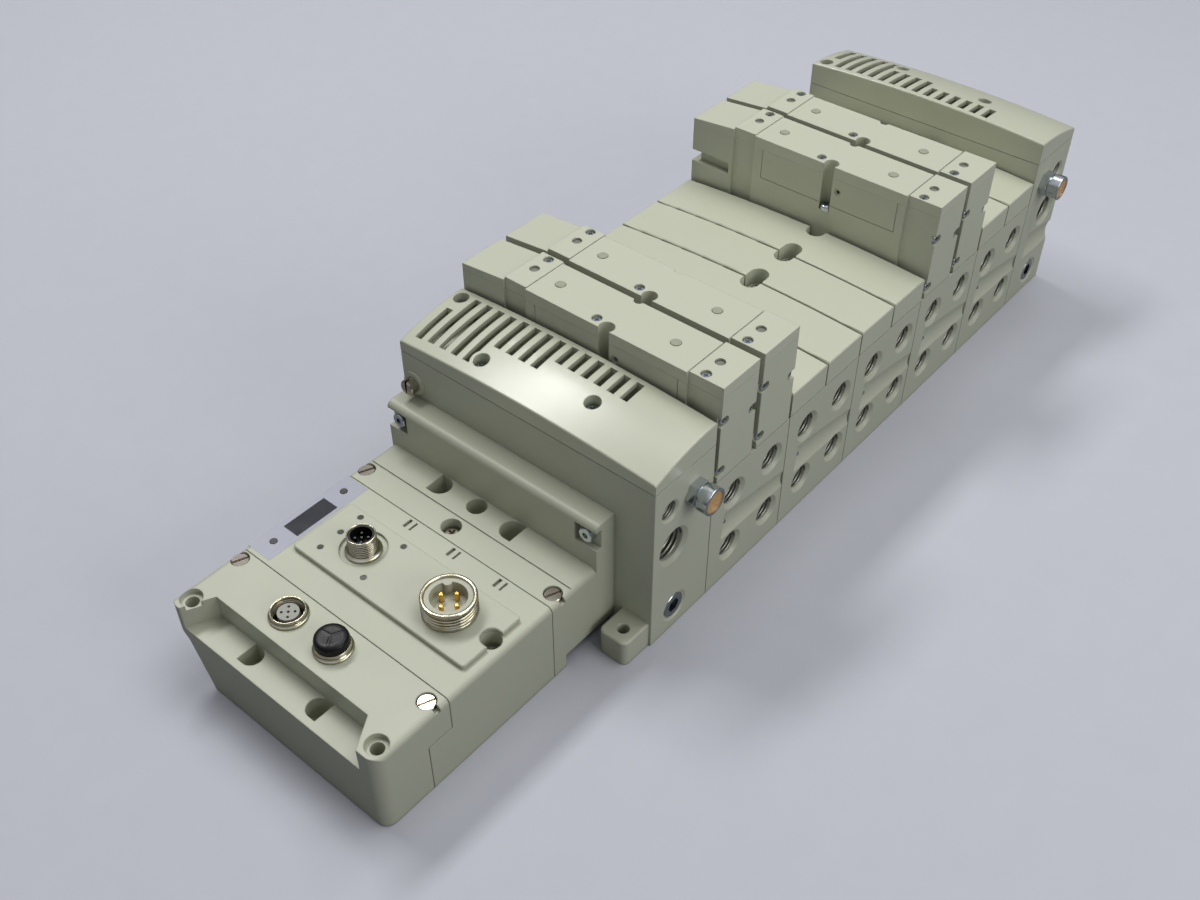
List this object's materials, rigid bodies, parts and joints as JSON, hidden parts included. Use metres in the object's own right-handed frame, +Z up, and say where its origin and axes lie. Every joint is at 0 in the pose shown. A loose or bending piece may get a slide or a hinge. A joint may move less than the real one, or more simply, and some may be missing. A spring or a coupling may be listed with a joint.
{
  "type": "pneumatic valve island",
  "caption": "Free-standing row of threaded pneumatic manifold blocks with solenoid valves and blanking plates, slotted end plates, and a low electronics module with round connectors at one end.",
  "frame": {"origin": "middle of the bottom of the manifold stack, halfway between the two end plates and between the front and back faces", "axes": "+X along the row, away from the electronics; -Y out of the threaded port face; +Z up from the mounting surface"},
  "size_m": [0.4865, 0.145, 0.112],
  "materials": {
    "cast_body": "lacquered, light greenish grey",
    "moulded_grey": "satin, light greenish grey",
    "valve_cover_grey": "satin, light greenish grey",
    "button_grey": "satin grey",
    "spool_steel": "ground",
    "gasket_rubber": "matt black",
    "zinc_steel": "bright zinc plated",
    "nickel_screw": "nickel plated",
    "nickel_shell": "nickel plated",
    "sintered_bronze": "porous, matt",
    "black_plastic": "satin black",
    "grey_plastic": "matt grey",
    "pale_plastic": "matt pale grey",
    "gold_contact": "gold plated",
    "lens_dark": "unlit lens",
    "label_silver": "silver film",
    "display_dark": "dark window",
    "key_dark": "black",
    "board_green": "solder mask green",
    "solenoid_casing": "moulded coil casing"
  },
  "bodies": {
    "island": {"end_module_housing": "moulded_grey", "socket_shells": "nickel_shell", "socket_inserts": "grey_plastic", "comm_module_housing": "moulded_grey", "connector_plate": "moulded_grey", "display_label": "label_silver", "display_window": "display_dark", "indicator_lights": "lens_dark", "data_connector_shell": "nickel_shell", "data_connector_insert": "black_plastic", "power_connector_shell": "nickel_shell", "power_connector_insert": "pale_plastic", "contact_pins": "gold_contact", "circuit_boards": "board_green", "module_screws": "nickel_screw", "adapter_housing": "moulded_grey", "socket_screws": "zinc_steel", "left_end_plate": "cast_body", "left_end_cover": "moulded_grey", "right_end_plate": "cast_body", "right_end_cover": "moulded_grey", "cover_screws": "zinc_steel", "silencer_bodies": "nickel_shell", "silencer_elements": "sintered_bronze", "port_plugs": "zinc_steel", "manifold_block_1": "cast_body", "manifold_block_2": "cast_body", "manifold_block_3": "cast_body", "manifold_block_4": "cast_body", "manifold_block_5": "cast_body", "block_gaskets": "gasket_rubber", "tie_rods": "zinc_steel", "blanking_plates": "moulded_grey", "station_gaskets": "gasket_rubber", "station_screws": "zinc_steel", "valve_1_body": "moulded_grey", "valve_2_body": "moulded_grey", "valve_3_body": "moulded_grey", "valve_4_body": "moulded_grey", "valve_1_cover": "valve_cover_grey", "valve_2_cover": "valve_cover_grey", "valve_3_cover": "valve_cover_grey", "valve_4_cover": "valve_cover_grey", "pilot_solenoids": "solenoid_casing", "pilot_screws": "zinc_steel"},
    "cap": {"dust_cap": "black_plastic"},
    "set_key": {"set_button": "key_dark"},
    "next_key": {"next_button": "key_dark"},
    "valve_1_spool_body": {"valve_1_spool": "spool_steel"},
    "valve_1_front_key": {"valve_1_front_button": "button_grey"},
    "valve_1_back_key": {"valve_1_back_button": "button_grey"},
    "valve_2_spool_body": {"valve_2_spool": "spool_steel"},
    "valve_2_front_key": {"valve_2_front_button": "button_grey"},
    "valve_2_back_key": {"valve_2_back_button": "button_grey"},
    "valve_3_spool_body": {"valve_3_spool": "spool_steel"},
    "valve_3_front_key": {"valve_3_front_button": "button_grey"},
    "valve_3_back_key": {"valve_3_back_button": "button_grey"},
    "valve_4_spool_body": {"valve_4_spool": "spool_steel"},
    "valve_4_front_key": {"valve_4_front_button": "button_grey"},
    "valve_4_back_key": {"valve_4_back_button": "button_grey"}
  },
  "joints": [
    {"name": "dust_cap_turn", "type": "hinge", "parent": "island", "child": "cap", "pos_m": [-0.2747, 0.0013, 0.0467], "axis": [0, 0, 1], "range_deg": [0, 1080]},
    {"name": "set_button_press", "type": "slide", "parent": "island", "child": "set_key", "axis": [0, 0, -1], "range_m": [0, 0.0004], "stiffness_N_per_m": 1500, "springref_m": -0.0004},
    {"name": "next_button_press", "type": "slide", "parent": "island", "child": "next_key", "axis": [0, 0, -1], "range_m": [0, 0.0004], "stiffness_N_per_m": 1500, "springref_m": -0.0004},
    {"name": "valve_1_spool_shift", "type": "slide", "parent": "island", "child": "valve_1_spool_body", "axis": [0, 1, 0], "range_m": [0, 0.006]},
    {"name": "valve_1_front_button_press", "type": "slide", "parent": "island", "child": "valve_1_front_key", "axis": [0, 0, -1], "range_m": [0, 0.0014], "stiffness_N_per_m": 1200, "springref_m": -0.0006},
    {"name": "valve_1_back_button_press", "type": "slide", "parent": "island", "child": "valve_1_back_key", "axis": [0, 0, -1], "range_m": [0, 0.0014], "stiffness_N_per_m": 1200, "springref_m": -0.0006},
    {"name": "valve_2_spool_shift", "type": "slide", "parent": "island", "child": "valve_2_spool_body", "axis": [0, 1, 0], "range_m": [0, 0.006]},
    {"name": "valve_2_front_button_press", "type": "slide", "parent": "island", "child": "valve_2_front_key", "axis": [0, 0, -1], "range_m": [0, 0.0014], "stiffness_N_per_m": 1200, "springref_m": -0.0006},
    {"name": "valve_2_back_button_press", "type": "slide", "parent": "island", "child": "valve_2_back_key", "axis": [0, 0, -1], "range_m": [0, 0.0014], "stiffness_N_per_m": 1200, "springref_m": -0.0006},
    {"name": "valve_3_spool_shift", "type": "slide", "parent": "island", "child": "valve_3_spool_body", "axis": [0, 1, 0], "range_m": [0, 0.006]},
    {"name": "valve_3_front_button_press", "type": "slide", "parent": "island", "child": "valve_3_front_key", "axis": [0, 0, -1], "range_m": [0, 0.0014], "stiffness_N_per_m": 1200, "springref_m": -0.0006},
    {"name": "valve_3_back_button_press", "type": "slide", "parent": "island", "child": "valve_3_back_key", "axis": [0, 0, -1], "range_m": [0, 0.0014], "stiffness_N_per_m": 1200, "springref_m": -0.0006},
    {"name": "valve_4_spool_shift", "type": "slide", "parent": "island", "child": "valve_4_spool_body", "axis": [0, 1, 0], "range_m": [0, 0.006]},
    {"name": "valve_4_front_button_press", "type": "slide", "parent": "island", "child": "valve_4_front_key", "axis": [0, 0, -1], "range_m": [0, 0.0014], "stiffness_N_per_m": 1200, "springref_m": -0.0006},
    {"name": "valve_4_back_button_press", "type": "slide", "parent": "island", "child": "valve_4_back_key", "axis": [0, 0, -1], "range_m": [0, 0.0014], "stiffness_N_per_m": 1200, "springref_m": -0.0006}
  ]
}
